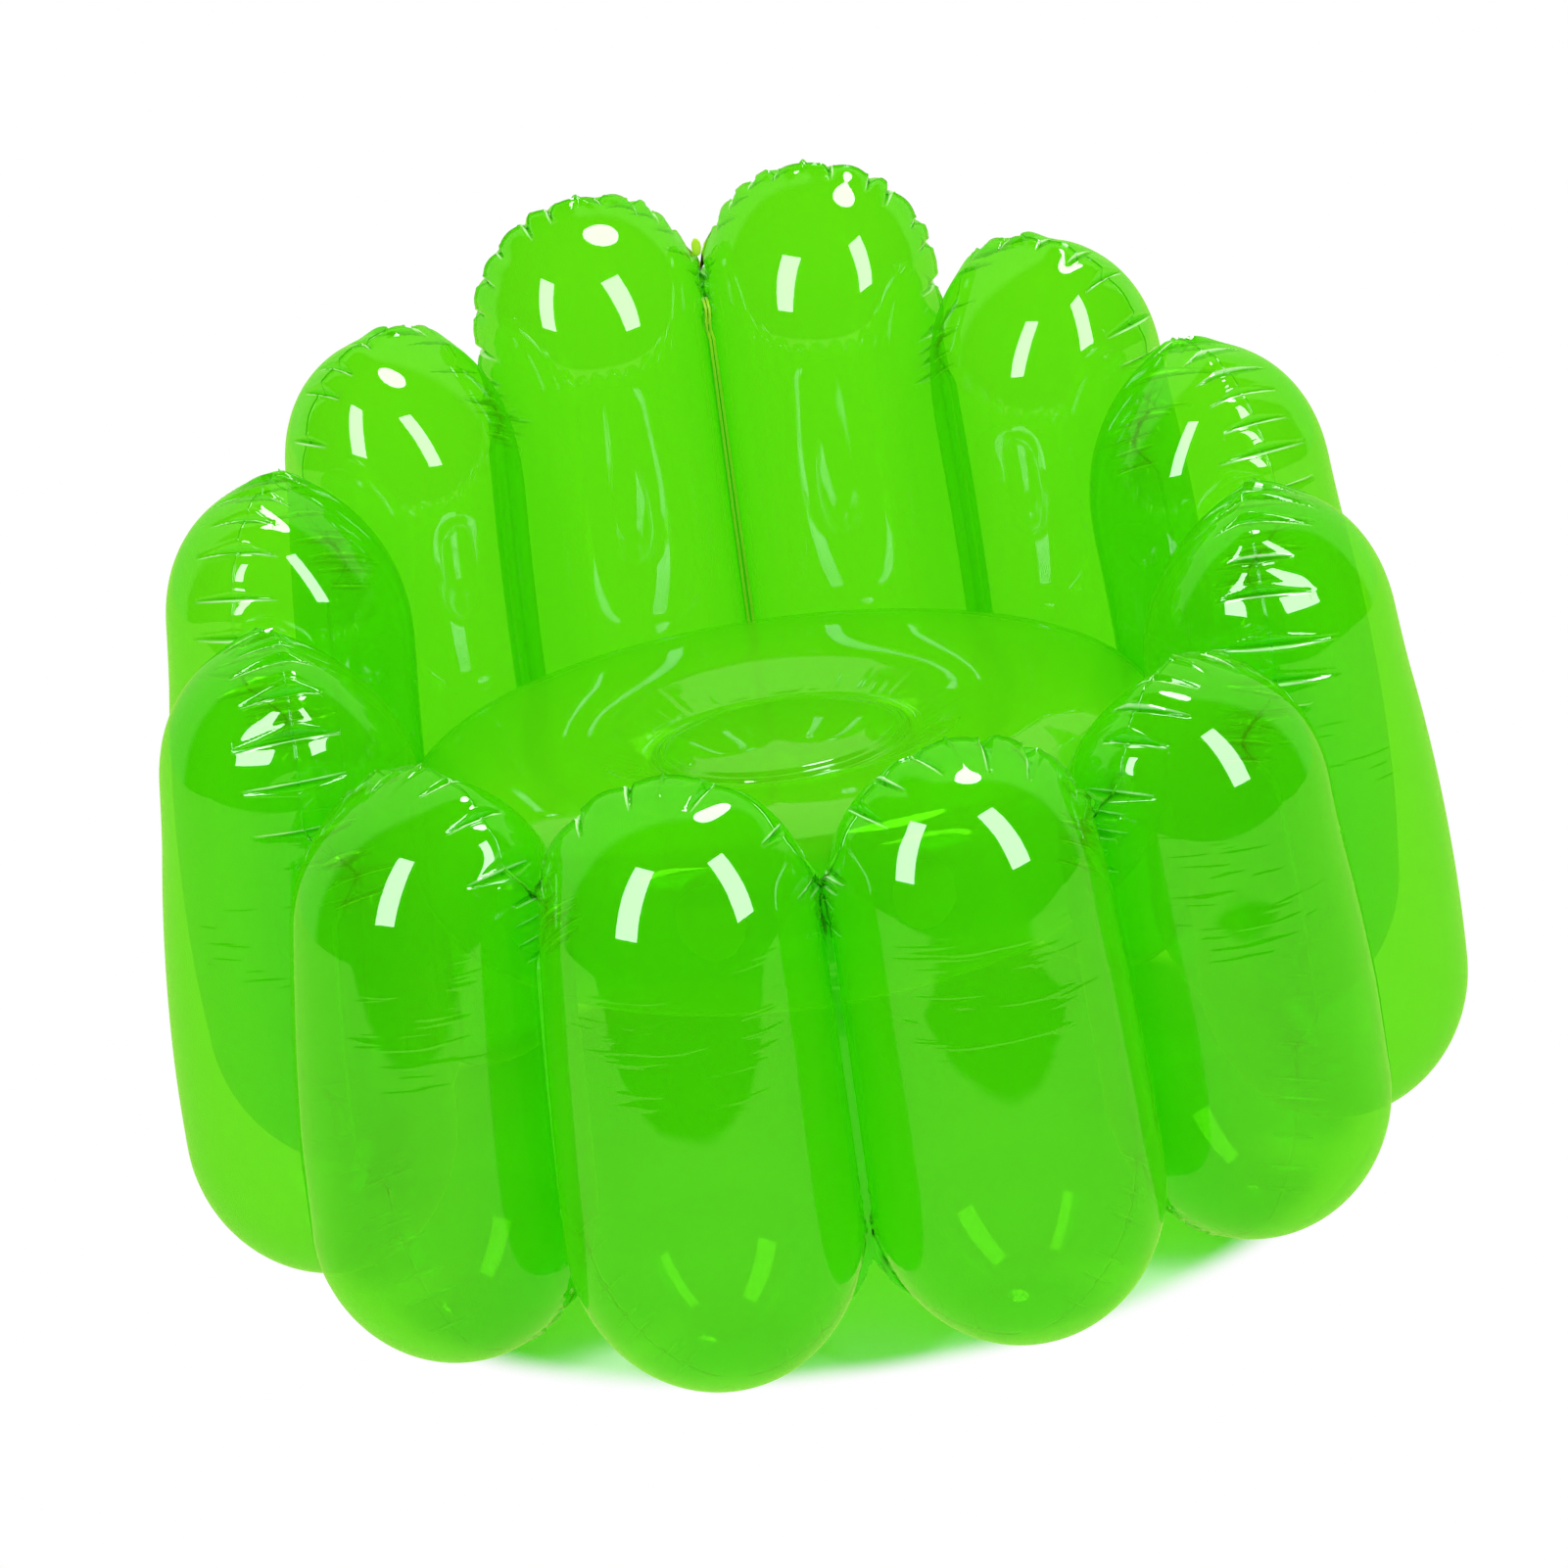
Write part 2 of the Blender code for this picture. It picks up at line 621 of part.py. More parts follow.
tubes = list_tubes()
ring_axis = middle_of_depth(tubes)
valve_index = [tube.name for tube in tubes].index(f"tube_{WALL_VALVE_TUBE}")
valve_tube = tubes[valve_index]
valve_patch = wall_valve_patch(valve_tube)
pieces = [air_tube(tube, valve_patch if tube is valve_tube else None) for tube in tubes]
valve("wall", pieces[valve_index], patch_frame(valve_tube, valve_patch))
join_tubes(tubes, pieces)

seat_top_sheet()
seat_tie_band()
under_seat = ring_frame(math.pi, seat_belly_radius(), SEAT_BELLY_HEIGHT) @ Matrix.Rotation(math.pi, 4, "X")
valve("seat", seat_bottom_sheet(), under_seat)
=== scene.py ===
import math
from collections import namedtuple

import bmesh
import bpy
import numpy as np
from mathutils import Matrix, Vector


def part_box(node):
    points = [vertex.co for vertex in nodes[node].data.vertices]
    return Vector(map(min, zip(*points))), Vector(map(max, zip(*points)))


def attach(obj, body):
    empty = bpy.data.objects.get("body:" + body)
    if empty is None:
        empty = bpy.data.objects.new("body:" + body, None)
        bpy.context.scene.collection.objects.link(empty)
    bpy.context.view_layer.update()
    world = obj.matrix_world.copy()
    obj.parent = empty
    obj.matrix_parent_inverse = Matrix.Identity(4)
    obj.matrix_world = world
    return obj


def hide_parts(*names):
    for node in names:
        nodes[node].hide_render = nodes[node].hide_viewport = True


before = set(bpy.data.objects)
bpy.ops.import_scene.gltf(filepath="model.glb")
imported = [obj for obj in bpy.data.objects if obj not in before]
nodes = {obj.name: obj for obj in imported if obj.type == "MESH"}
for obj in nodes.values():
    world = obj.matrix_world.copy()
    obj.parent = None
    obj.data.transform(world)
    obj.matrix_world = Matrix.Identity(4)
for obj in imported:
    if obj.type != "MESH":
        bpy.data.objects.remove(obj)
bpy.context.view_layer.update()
scene = bpy.context.scene
view_settings = scene.view_settings
view_settings.view_transform = "Standard"
scene.cycles.transparent_max_bounces = 48  # a line of sight crosses dozens of sheets of film
scene.cycles.max_bounces = 16


# The camera stands in front of the chair and a little above it, and leans, as the photograph does, by eight
# degrees. Its place and lens were fitted to the outline of the tubes. A pixel below is one of 1601 across
# the frame.
def add_object(name, data):
    """An object for this mesh, lamp or camera, in the scene."""
    added = bpy.data.objects.new(name, data)
    scene.collection.objects.link(added)
    return added


seat_low, seat_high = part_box("seat_top_sheet")
RING_Y = (seat_low.y + seat_high.y) / 2  # where the middle of the ring of tubes stands in the frame
FRAME_PIXELS = 1601
LENS_PIXELS = 4514.2
OFF_CENTRE = (5.37, 12.03)  # pixels
SENSOR = 36
CAMERA_DISTANCE = 3.5986
AIM = Vector((0, RING_Y, 0.3))
AZIMUTH = math.radians(-1.87)
ELEVATION = math.radians(19.12)
LEAN = math.radians(-8.01)

back = Vector(
    (math.sin(AZIMUTH) * math.cos(ELEVATION), -math.cos(AZIMUTH) * math.cos(ELEVATION), math.sin(ELEVATION))
)
level = Vector((math.cos(AZIMUTH), math.sin(AZIMUTH), 0))
upright = back.cross(level)
right = level * math.cos(LEAN) + upright * math.sin(LEAN)
up = upright * math.cos(LEAN) - level * math.sin(LEAN)
camera = add_object("camera", bpy.data.cameras.new("camera"))
turned = Matrix((right, up, back)).transposed().to_4x4()
camera.matrix_world = Matrix.Translation(AIM + back * CAMERA_DISTANCE) @ turned
camera.data.sensor_width = SENSOR
camera.data.lens = SENSOR * LENS_PIXELS / FRAME_PIXELS
camera.data.shift_x = -OFF_CENTRE[0] / FRAME_PIXELS
camera.data.shift_y = OFF_CENTRE[1] / FRAME_PIXELS
camera.data.clip_end = 50
scene.camera = camera


# The studio is a floor of white paper that runs on into a white wall behind the chair. The side of the
# camera is kept dark, so that the film's own shine shows. Two tall windows of light stand in front, and a
# round one hangs overhead.
def linear(code):
    """The linear colour of an sRGB hex code."""
    parts = [int(code[i : i + 2], 16) / 255 for i in (1, 3, 5)]
    return [part / 12.92 if part <= 0.04045 else ((part + 0.055) / 1.055) ** 2.4 for part in parts] + [1]


def add_node(tree, kind, settings=None, **links):
    """A node of that kind. Settings are its properties, and links are its sockets' values, or the nodes or
    outputs that they read."""
    node = tree.nodes.new(kind)
    for name, value in (settings or {}).items():
        setattr(node, name, value)
    for name, value in links.items():
        key = name.replace("_", " ")
        socket = node.inputs[int(key[1:])] if key[1:].isdigit() else node.inputs[key]
        if isinstance(value, bpy.types.Node):
            value = value.outputs[0]
        if isinstance(value, bpy.types.NodeSocket):
            tree.links.new(value, socket)
        else:
            socket.default_value = value
    return node


def new_material(name):
    material = bpy.data.materials.new(name)
    material.use_nodes = True
    material.node_tree.nodes.clear()
    return material, material.node_tree


SMOOTH = {"interpolation_type": "SMOOTHSTEP"}
TIMES = {"operation": "MULTIPLY"}
TIMES_PLUS = {"operation": "MULTIPLY_ADD"}
WHITE = [1, 1, 1, 1]
PAPER = "#EEEEEE"
FLOOR_RADIUS = 9
FLOOR_IN_FILM = "#DDFF80"  # the floor beside the chair shines back green into the film
SHADE_ENDS = (0.41, 0.45)  # the floor's own shade shows inside the first radius, pure white past the second
PAPER_FRONT = (-3.0, -2.4)  # where the white paper ends in front, as the film mirrors it
PAST_PAPER = 0.04  # how bright the floor is in front of the paper, as the film mirrors it

bm = bmesh.new()
bmesh.ops.create_circle(bm, cap_ends=True, segments=96, radius=FLOOR_RADIUS)
floor_mesh = bpy.data.meshes.new("studio_floor")
bm.to_mesh(floor_mesh)
bm.free()
floor = add_object("studio_floor", floor_mesh)
paper, tree = new_material("white_paper_sweep")
place = add_node(tree, "ShaderNodeTexCoord").outputs["Object"]
away = add_node(tree, "ShaderNodeVectorMath", {"operation": "LENGTH"}, _0=place).outputs["Value"]
reach = add_node(
    tree, "ShaderNodeMapRange", SMOOTH, Value=away, From_Min=SHADE_ENDS[0], From_Max=SHADE_ENDS[1]
)
ray = add_node(tree, "ShaderNodeLightPath")
white_share = add_node(tree, "ShaderNodeMath", TIMES, _0=reach, _1=ray.outputs["Is Camera Ray"])
matt = add_node(tree, "ShaderNodeBsdfDiffuse", Color=linear(PAPER))
white = add_node(tree, "ShaderNodeEmission", Color=WHITE, Strength=1.0)
mixed = add_node(tree, "ShaderNodeMixShader", _0=white_share, _1=matt, _2=white)
depth = add_node(tree, "ShaderNodeSeparateXYZ", Vector=place).outputs["Y"]
sheet = add_node(
    tree, "ShaderNodeMapRange", SMOOTH,
    Value=depth, From_Min=PAPER_FRONT[0], From_Max=PAPER_FRONT[1], To_Min=PAST_PAPER,
)
mirrored = add_node(tree, "ShaderNodeEmission", Color=linear(FLOOR_IN_FILM), Strength=sheet)
shown = add_node(tree, "ShaderNodeMixShader", _0=ray.outputs["Is Glossy Ray"], _1=mixed, _2=mirrored)
add_node(tree, "ShaderNodeOutputMaterial", Surface=shown)
floor_mesh.materials.append(paper)

FILL_FRONT = 0.35  # how much light comes from the side of the camera, where 1 is white
FILL_BACK = 1.0
FILL_ENDS = (-0.3, 0.4)  # from front to back, as a share of the way that a ray points
WALL_IN_FILM = "#C8FF8C"
WALL_EDGE = (0.20, 0.34)  # where the white wall begins at the sides, as the film mirrors it
PAST_WALL = 0.02

world = bpy.data.worlds.new("studio")
world.use_nodes = True
scene.world = world
tree = world.node_tree
tree.nodes.clear()
toward = add_node(tree, "ShaderNodeTexCoord").outputs["Generated"]
depth = add_node(tree, "ShaderNodeSeparateXYZ", Vector=toward).outputs["Y"]
behind = add_node(
    tree, "ShaderNodeMapRange", SMOOTH,
    Value=depth, From_Min=FILL_ENDS[0], From_Max=FILL_ENDS[1], To_Min=FILL_FRONT, To_Max=FILL_BACK,
)
ray = add_node(tree, "ShaderNodeLightPath")
fill = add_node(tree, "ShaderNodeMath", {"operation": "MAXIMUM"}, _0=behind, _1=ray.outputs["Is Camera Ray"])
sky = add_node(tree, "ShaderNodeBackground", Color=WHITE, Strength=fill)
wall = add_node(
    tree, "ShaderNodeMapRange", SMOOTH,
    Value=depth, From_Min=WALL_EDGE[0], From_Max=WALL_EDGE[1], To_Min=PAST_WALL, To_Max=1.0,
)
wall_sky = add_node(tree, "ShaderNodeBackground", Color=linear(WALL_IN_FILM), Strength=wall)
seen = add_node(tree, "ShaderNodeMixShader", _0=ray.outputs["Is Glossy Ray"], _1=sky, _2=wall_sky)
add_node(tree, "ShaderNodeOutputWorld", Surface=seen)


def add_lamp(name, place, size, power, shape, target):
    lamp = bpy.data.lights.new(name, "AREA")
    lamp.shape = shape
    lamp.size, lamp.size_y = size
    lamp.energy = power
    holder = add_object(name, lamp)
    holder.location = place
    holder.rotation_euler = (Vector(place) - Vector(target)).to_track_quat("Z", "Y").to_euler()


add_lamp("window_left", (-1.40, -1.52, 1.98), (0.66, 1.95), 40, "RECTANGLE", (0, 0, 1.0))
add_lamp("window_right", (1.40, -1.52, 1.98), (0.66, 1.95), 40, "RECTANGLE", (0, 0, 1.0))
add_lamp("overhead", (0.6, 0.3, 2.6), (0.62, 0.62), 13, "DISK", (0, 0, 0.35))

# Air tubes. Each is two sheets of clear green vinyl welded along their edges, blown up until they stand
# round. At the domed top and foot there is more film than the rounder shape needs, so it gathers in folds
# that run in from the weld.
SWELLS_PER_METRE = 14.0  # each about 70 mm across
SWELL_DEPTH = 0.004
STREAKS_PER_METRE = (16, 16, 150)  # each about 60 mm long and 7 mm high
STREAK_DEPTH = 0.0002
STREAK_HEIGHTS = (0.24, 0.29, 0.31, 0.38)  # they begin, are full, are still full, and end
STREAK_PEAKS = (0.55, 0.75)  # the part of the noise that stands out
CREASE_DEPTH = 0.0016
CREASE_ENDS = (0.0016, 0.0002)  # from a fold's line out to the crease's edge, and to its full depth
GLINT_OFF = 0.0021  # from a fold's line to the painted highlight line beside it
GLINT_ENDS = (0.0012, 0.0002)
CRUMPLES_PER_METRE = 60.0  # each about 17 mm across
CRUMPLE_DEPTH = 0.014
DOUBLED_FILM = "#62C820"
# painted highlight: a pale matt colour that is mixed in along the line beside each fold, and how much of it
PAINTED_GLINT_COLOUR = "#DDF6C8"
PAINTED_GLINT_SHARE = 0.5
GLOW_SHARE = 0.6  # how much of the scattered light goes on through the film
SLANTED_SHINE = 0.5
GLINT_SHINE = 0.3
INNER_LOSS = 0.2  # how much weaker the film's inner side mirrors


# The film is calendered smooth and about 0.4 mm thick. Most light goes straight through it and takes its
# green from it. Some is scattered inside, which keeps it bright where many layers lie behind each other.
def film_material(name, body, clear, slant, cloud, shine=0.045, roughness=0.03, ripple=0.10):
    """Body is the colour that it scatters, clear and slant are what it lets through square on and at a slant,
    cloud is the share that is scattered, shine what it mirrors square on, and ripple how much it swells."""
    material, tree = new_material(name)
    place = add_node(tree, "ShaderNodeTexCoord").outputs["Object"]

    # short level streaks where the tubes press on the rim of the seat
    drawn_out = add_node(
        tree, "ShaderNodeMapping", {"vector_type": "POINT"}, Vector=place, Scale=STREAKS_PER_METRE
    )
    streak = add_node(tree, "ShaderNodeTexNoise", Vector=drawn_out, Scale=1.0, Detail=1.0)
    tall = add_node(tree, "ShaderNodeSeparateXYZ", Vector=place).outputs["Z"]
    begin, full, still_full, end = STREAK_HEIGHTS
    under = add_node(tree, "ShaderNodeMapRange", SMOOTH, Value=tall, From_Min=begin, From_Max=full)
    over = add_node(tree, "ShaderNodeMapRange", SMOOTH, Value=tall, From_Min=end, From_Max=still_full)
    both = add_node(tree, "ShaderNodeMath", TIMES, _0=under, _1=over)
    low, high = STREAK_PEAKS
    peaks = add_node(tree, "ShaderNodeMapRange", SMOOTH, Value=streak, From_Min=low, From_Max=high)
    pressed = add_node(tree, "ShaderNodeMath", TIMES, _0=both, _1=peaks)

    # sharp creases along the folds with a painted highlight line beside each, and crumples where a weld ends
    across = add_node(tree, "ShaderNodeAttribute", {"attribute_name": "fold_across"}).outputs["Fac"]
    folded = add_node(tree, "ShaderNodeAttribute", {"attribute_name": "fold_share"}).outputs["Fac"]
    off = add_node(tree, "ShaderNodeMath", {"operation": "ABSOLUTE"}, _0=across)
    far, near = CREASE_ENDS
    crease = add_node(tree, "ShaderNodeMapRange", SMOOTH, Value=off, From_Min=far, From_Max=near)
    crease = add_node(tree, "ShaderNodeMath", TIMES, _0=crease, _1=folded)
    beside = add_node(tree, "ShaderNodeMath", {"operation": "SUBTRACT"}, _0=across, _1=GLINT_OFF)
    beside = add_node(tree, "ShaderNodeMath", {"operation": "ABSOLUTE"}, _0=beside)
    far, near = GLINT_ENDS
    glint = add_node(tree, "ShaderNodeMapRange", SMOOTH, Value=beside, From_Min=far, From_Max=near)
    glint = add_node(tree, "ShaderNodeMath", TIMES, _0=glint, _1=folded)
    crumples = add_node(
        tree, "ShaderNodeTexVoronoi", {"feature": "F1"}, Vector=place, Scale=CRUMPLES_PER_METRE
    ).outputs["Distance"]
    crumpled = add_node(tree, "ShaderNodeAttribute", {"attribute_name": "pucker"}).outputs["Fac"]
    crumples = add_node(tree, "ShaderNodeMath", TIMES, _0=crumples, _1=crumpled)

    # the film's height in metres: a slight swell, the streaks, the creases and the crumples
    swell = add_node(
        tree, "ShaderNodeTexNoise", Vector=place, Scale=SWELLS_PER_METRE, Detail=2.0, Roughness=0.4
    )
    height = add_node(tree, "ShaderNodeMath", TIMES, _0=swell, _1=SWELL_DEPTH * ripple)
    for form, deep in ((pressed, STREAK_DEPTH), (crease, -CREASE_DEPTH), (crumples, CRUMPLE_DEPTH)):
        height = add_node(tree, "ShaderNodeMath", TIMES_PLUS, _0=form, _1=deep, _2=height)
    normal = add_node(tree, "ShaderNodeBump", Strength=1.0, Distance=1.0, Height=height)

    # what goes through the film, and what it scatters
    slanted = add_node(tree, "ShaderNodeLayerWeight", Blend=0.5).outputs["Facing"]
    slanted_more = add_node(tree, "ShaderNodeMath", {"operation": "POWER"}, _0=slanted, _1=3.0)
    tint = add_node(
        tree, "ShaderNodeMix", {"data_type": "RGBA"}, _0=slanted_more, _6=linear(clear), _7=linear(slant)
    ).outputs[2]
    tint = add_node(
        tree, "ShaderNodeMix", {"data_type": "RGBA"}, _0=crease, _6=tint, _7=linear(DOUBLED_FILM)
    ).outputs[2]
    through = add_node(tree, "ShaderNodeBsdfTransparent", Color=tint)
    lit = add_node(tree, "ShaderNodeBsdfDiffuse", Color=linear(body), Normal=normal)
    glow = add_node(tree, "ShaderNodeBsdfTranslucent", Color=linear(body), Normal=normal)
    cloudy = add_node(tree, "ShaderNodeMixShader", _0=GLOW_SHARE, _1=lit, _2=glow)
    inside = add_node(tree, "ShaderNodeMixShader", _0=cloud, _1=through, _2=cloudy)

    # what it mirrors, more at a slant, and more on the painted highlight line beside a fold
    steep = add_node(tree, "ShaderNodeMath", {"operation": "POWER"}, _0=slanted, _1=4.0)
    share = add_node(tree, "ShaderNodeMath", TIMES_PLUS, _0=steep, _1=SLANTED_SHINE - shine, _2=shine)
    share = add_node(tree, "ShaderNodeMath", TIMES_PLUS, _0=glint, _1=GLINT_SHINE, _2=share)
    inner_side = add_node(tree, "ShaderNodeNewGeometry").outputs["Backfacing"]
    weaker = add_node(tree, "ShaderNodeMath", TIMES_PLUS, _0=inner_side, _1=-INNER_LOSS, _2=1.0)
    share = add_node(tree, "ShaderNodeMath", TIMES, _0=share, _1=weaker)
    gloss = add_node(tree, "ShaderNodeBsdfGlossy", Color=WHITE, Roughness=roughness, Normal=normal)
    whole = add_node(tree, "ShaderNodeMixShader", _0=share, _1=inside, _2=gloss)
    # painted highlight: the pale matt colour is mixed in along the line beside each fold
    lip = add_node(tree, "ShaderNodeBsdfDiffuse", Color=linear(PAINTED_GLINT_COLOUR))
    painted_glint_share = add_node(tree, "ShaderNodeMath", TIMES, _0=glint, _1=PAINTED_GLINT_SHARE)
    whole = add_node(tree, "ShaderNodeMixShader", _0=painted_glint_share, _1=whole, _2=lip)
    add_node(tree, "ShaderNodeOutputMaterial", Surface=whole)
    return material


tube_film = film_material("clear_green_vinyl", "#78DC0C", "#AEFC5A", "#7CEC2E", 0.36, shine=0.06)
edge_film = film_material("edge_weld_vinyl", "#7CE418", "#C0F880", "#A0F050", 0.25, roughness=0.1)

TUBE_NAMES = ("front", "front_corner", "side_front", "side_back", "back_corner", "back")
PITCH = math.radians(30)
RING_RADIUS = 0.415
WAIST = 0.300
BOW_RADIUS = 1.77  # a tube bends outward in the middle by this curve
FRONT_LEAN = -0.171
BACK_LEAN = -0.003
HALF_WELD = 0.002
CROWN = 0.105
FOOT = 0.125
FOOT_TOP = 0.1045  # where the lower welds end
WELD_ANGLE = math.radians(105)  # from a tube's outermost line
EDGE_TURN = math.radians(23)  # how far the edge leaves that line above the weld's end, toward the outer side
EDGE_TURN_RISE = 0.055  # the height that this turn takes
EDGE_STEP = 0.007  # half the angle that the welded edge takes
FLANGE = 0.0018  # what the welded edge stands out round the domes
BESIDE_WELD = 0.0012  # what the film beside a weld stands out
WELD_END = 0.012  # the height over which an edge comes free of its weld
WELD_EASE = math.radians(25)  # the section keeps its plain round within this turn of a weld
FLATTENING = 0.08  # above the foot, the height over which the section takes its squarer form
CROWN_POWERS = (2.3, 2.25)  # the dome's outline from the front, and its outer half's from the side
INNER_CROWN = (0.15, 2.4, 0.8)  # the inner half slopes longer: its height, and its two powers
LEAN_RISE = 0.16  # the height over which the crown leans out
LEAN_POWER = 1.6
SWELL_PLACE = (0.07, 0.035)  # how far below the top a crown is widest, and over what height
COLUMNS = (36, 28)  # from the weld to the outermost line, and from the weld to the innermost
ROWS = (52, 92, 130)  # foot, straight part, crown
CLOSE_ROWS = 0.03  # how far from a weld's end the rows lie closer together
FAR_SIDE = 0.1  # a point is on the tube's far side where the cosine of its turn from an edge is less
STEEP_SIDE = 2.4  # one side of a fold is steep, where the film laps over itself
FOLD_REACH = 0.009  # how far from its line a fold is still drawn in the material
PETAL_RISE = 0.0042
PETAL_REACH = 0.022
FOOT_CREASES = 0.25  # the creases show weakly round the feet
UPPER_CRUMPLES = (0.004, 0.038, 0.045)  # how far below a weld's upper end they centre, their width and height
LOWER_CRUMPLES = (0.0, 0.030, 0.035)
LOWER_CRUMPLE_SHARE = 0.7
Fold = namedtuple("Fold", "side place length width depth lap")
Tube = namedtuple(
    "Tube",
    "crown_shift flatness swell spacing fold_length fold_depth",
    defaults=(0.018, (2.1, 1.0), 0.0, 0.031, 0.044, 0.0055),
)
BACK = {"flatness": (2.08, 1.0), "swell": 0.03, "spacing": 0.029, "fold_depth": 0.0042}
TUBES = {
    "front_left": Tube(crown_shift=0.004, flatness=(2.0, 0.95), spacing=0.046, fold_length=0.034),
    "front_right": Tube(crown_shift=0.020, flatness=(2.0, 0.95), spacing=0.040, fold_length=0.036),
    "front_corner_left": Tube(crown_shift=0.004, spacing=0.036, fold_length=0.034),
    "front_corner_right": Tube(crown_shift=0.020, spacing=0.036, fold_length=0.034),
    "back_corner_left": Tube(fold_length=0.034, spacing=0.036),
    "back_corner_right": Tube(crown_shift=0.014, fold_length=0.034, spacing=0.036),
    "back_left": Tube(crown_shift=0.014, fold_length=0.034, **BACK),
    "back_right": Tube(crown_shift=0.020, fold_length=0.036, **BACK),
}
CROWN_FOLD_WIDTH = 0.0068
FIRST_CROWN_FOLD = 0.004  # from the dome's top
END_FOLDS = (0.014, 0.030, 0.0045, 0.0040)  # at a weld's upper end: their spacing, length, width and depth
END_FOLD_ROW = (-0.03, 0.02)  # where they begin and end, from the weld's end down
FOOT_FOLDS = (0.024, 0.024, 0.0045, 0.0030)
FOOT_FOLD_ROW = (0.03, 0.19)


def eased(x):
    x = np.clip(x, 0, 1)
    return x * x * (3 - 2 * x)


def ring_distance(turn, z):
    """From the ring's axis to a tube's centre line."""
    back_share = (1 - math.cos(turn)) / 2
    lean = FRONT_LEAN + (BACK_LEAN - FRONT_LEAN) * back_share
    return RING_RADIUS + lean * (z - WAIST) - (z - WAIST) ** 2 / (2 * BOW_RADIUS)


def to_ring(turn, across, out, z):
    """Points of the chair, from places across and out along the direction at that turn of the ring."""
    c, s = math.cos(turn), math.sin(turn)
    return np.stack([c * across + s * out, s * across - c * out + RING_Y, z], axis=-1)


def section_columns():
    """Angles of the section's columns from the outermost line, close together at the welds."""
    outer = (WELD_ANGLE - EDGE_STEP) * (1 - np.linspace(0, 1, COLUMNS[0]) ** 1.7)
    inner = WELD_ANGLE + EDGE_STEP + (math.pi - WELD_ANGLE - EDGE_STEP) * np.linspace(0, 1, COLUMNS[1]) ** 1.6
    half = np.concatenate([outer[::-1], [WELD_ANGLE], inner])  # from 0 up to pi
    return np.concatenate([half, -half[-2:0:-1]])


def tube_rows(top, low_end):
    """Heights of the rings of points from the foot up, close together in both domes and at a weld's ends."""
    foot = FOOT - FOOT * np.cos(np.linspace(0, math.pi / 2, ROWS[0] + 1))
    crown = top - CROWN + CROWN * np.sin(np.linspace(0, math.pi / 2, ROWS[2] + 1))
    fine = np.linspace(FOOT, top - CROWN, 400)
    crowding = 1 + 3.5 * (fine > low_end - CLOSE_ROWS) + 1.5 * (fine < FOOT + CLOSE_ROWS)
    run = np.concatenate([[0], np.cumsum((crowding[1:] + crowding[:-1]) / 2)])
    straight = np.interp(np.linspace(0, run[-1], ROWS[1] + 1)[1:-1], run, fine)
    return np.concatenate([foot, straight, crown])


def along_edge(polar, drop, from_edge):
    """How far along the edge a point lies from the dome's top. The polar angle is counted from the dome's top,
    and drop is the height below the dome's widest ring."""
    on_dome = np.arctan2(np.sin(polar) * np.cos(from_edge), np.cos(polar)) * CROWN
    return np.where(drop > 0, CROWN * math.pi / 2 + drop, on_dome)


def off_edge(polar, from_edge):
    """How far from the edge a point of the dome lies."""
    return np.arcsin(np.clip(np.sin(polar) * np.abs(np.sin(from_edge)), 0, 1)) * CROWN


def gather(folds, angle, edge_angle, polar, drop, radius):
    """How far the folds draw each point in, where it lies across the nearest one, and how folded it is."""
    total, across, folded = np.zeros_like(angle), np.full_like(angle, 1.0), np.zeros_like(angle)
    for fold in folds:
        from_edge = np.angle(np.exp(1j * (angle - fold.side * edge_angle)))
        along = along_edge(polar, drop, from_edge)
        away = np.where(drop > 0, radius * np.abs(from_edge), off_edge(polar, from_edge))
        away = np.where((np.cos(from_edge) < FAR_SIDE) & (polar > 0.35), 1.0, away)
        share = np.clip(1 - away / fold.length, 0, 1)
        half_width = fold.width * (0.15 + 0.85 * share)
        beside = (along - fold.place) * fold.lap
        off = beside / half_width
        off = np.where(off > 0, STEEP_SIDE * off, -off)
        valley = np.clip(1 - off, 0, 1) ** 1.2 * share**0.5
        lip = np.exp(-(((off - 1.2) / 0.4) ** 2)) * share**0.5 * 0.25
        total += fold.depth * (lip - valley)
        nearest = (np.abs(beside) < np.abs(across)) & (share > 0)
        across = np.where(nearest, beside, across)
        fading = np.clip(1 - (np.abs(beside) / FOLD_REACH) ** 2, 0, 1)
        folded = np.where(nearest, np.clip(1.6 * share, 0, 1) * fading, folded)
    return total, np.where(across == 1, FOLD_REACH, across), folded


def scallop(folds, angle, edge_angle, polar, drop):
    """The film between two folds stands out a little beside the edge, like a petal."""
    places = {side: sorted(fold.place for fold in folds if fold.side == side) for side in (1, -1)}
    total = np.zeros_like(angle)
    for side, marks in places.items():
        if len(marks) < 2:
            continue
        from_edge = np.angle(np.exp(1j * (angle - side * edge_angle)))
        along = along_edge(polar, drop, from_edge)
        away = np.where(np.cos(from_edge) < FAR_SIDE, 1.0, off_edge(polar, from_edge))
        # the petal at the top reaches to the other side's first fold
        marks = np.array([-places[-side][0]] + marks)
        slot = np.clip(np.searchsorted(marks, along) - 1, 0, len(marks) - 2)
        share = (along - marks[slot]) / (marks[slot + 1] - marks[slot])
        bulge = np.clip(4 * share * (1 - share), 0, 1)
        total += PETAL_RISE * bulge * np.exp(-((away / PETAL_REACH) ** 2))
    return total


def patch(from_edge, from_end, width, height):
    """1 at a weld's end, and 0 from this far away."""
    return np.clip(1 - np.hypot(from_edge / width, from_end / height), 0, 1)


